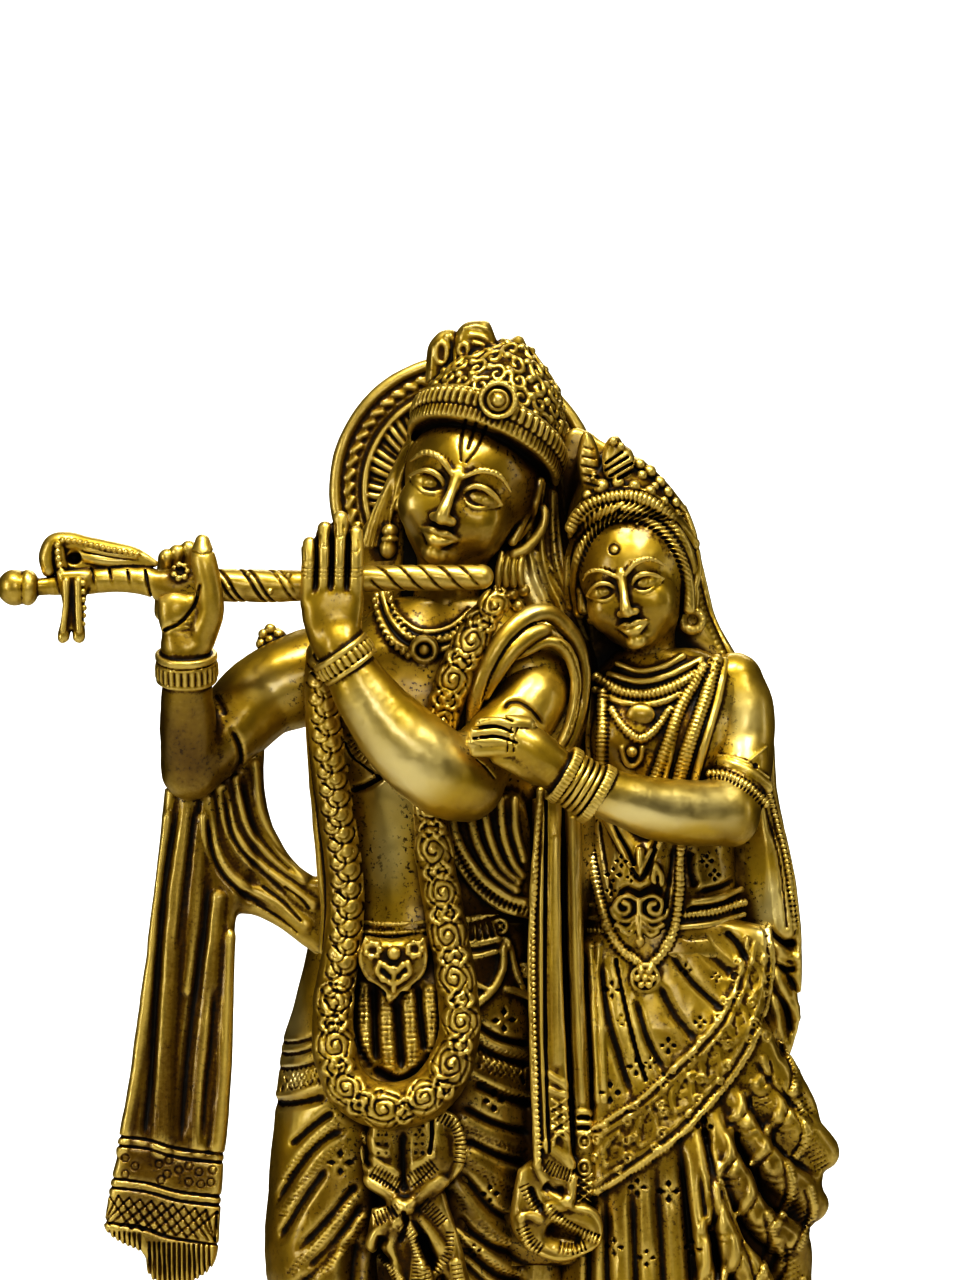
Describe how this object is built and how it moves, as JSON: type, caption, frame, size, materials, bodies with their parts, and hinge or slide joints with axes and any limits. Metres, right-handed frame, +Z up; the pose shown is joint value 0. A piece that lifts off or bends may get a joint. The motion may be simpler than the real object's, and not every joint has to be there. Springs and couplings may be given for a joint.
{
  "type": "radha krishna statue",
  "caption": "Cast brass group of Krishna playing the flute with Radha leaning at his side, standing on a low oval lotus base.",
  "frame": {"origin": "centre of the base's flat underside", "axes": "+Z up, the figures face -Y, +X to the viewer's right seen from the front"},
  "size_m": [0.4237, 0.1416, 0.6894],
  "materials": {
    "brass": "polished on the high parts, dark patina in the recesses",
    "base_brass": "satin, dark patina between the petals"
  },
  "bodies": {
    "root": {"figures": "brass", "base": "base_brass"}
  },
  "joints": []
}
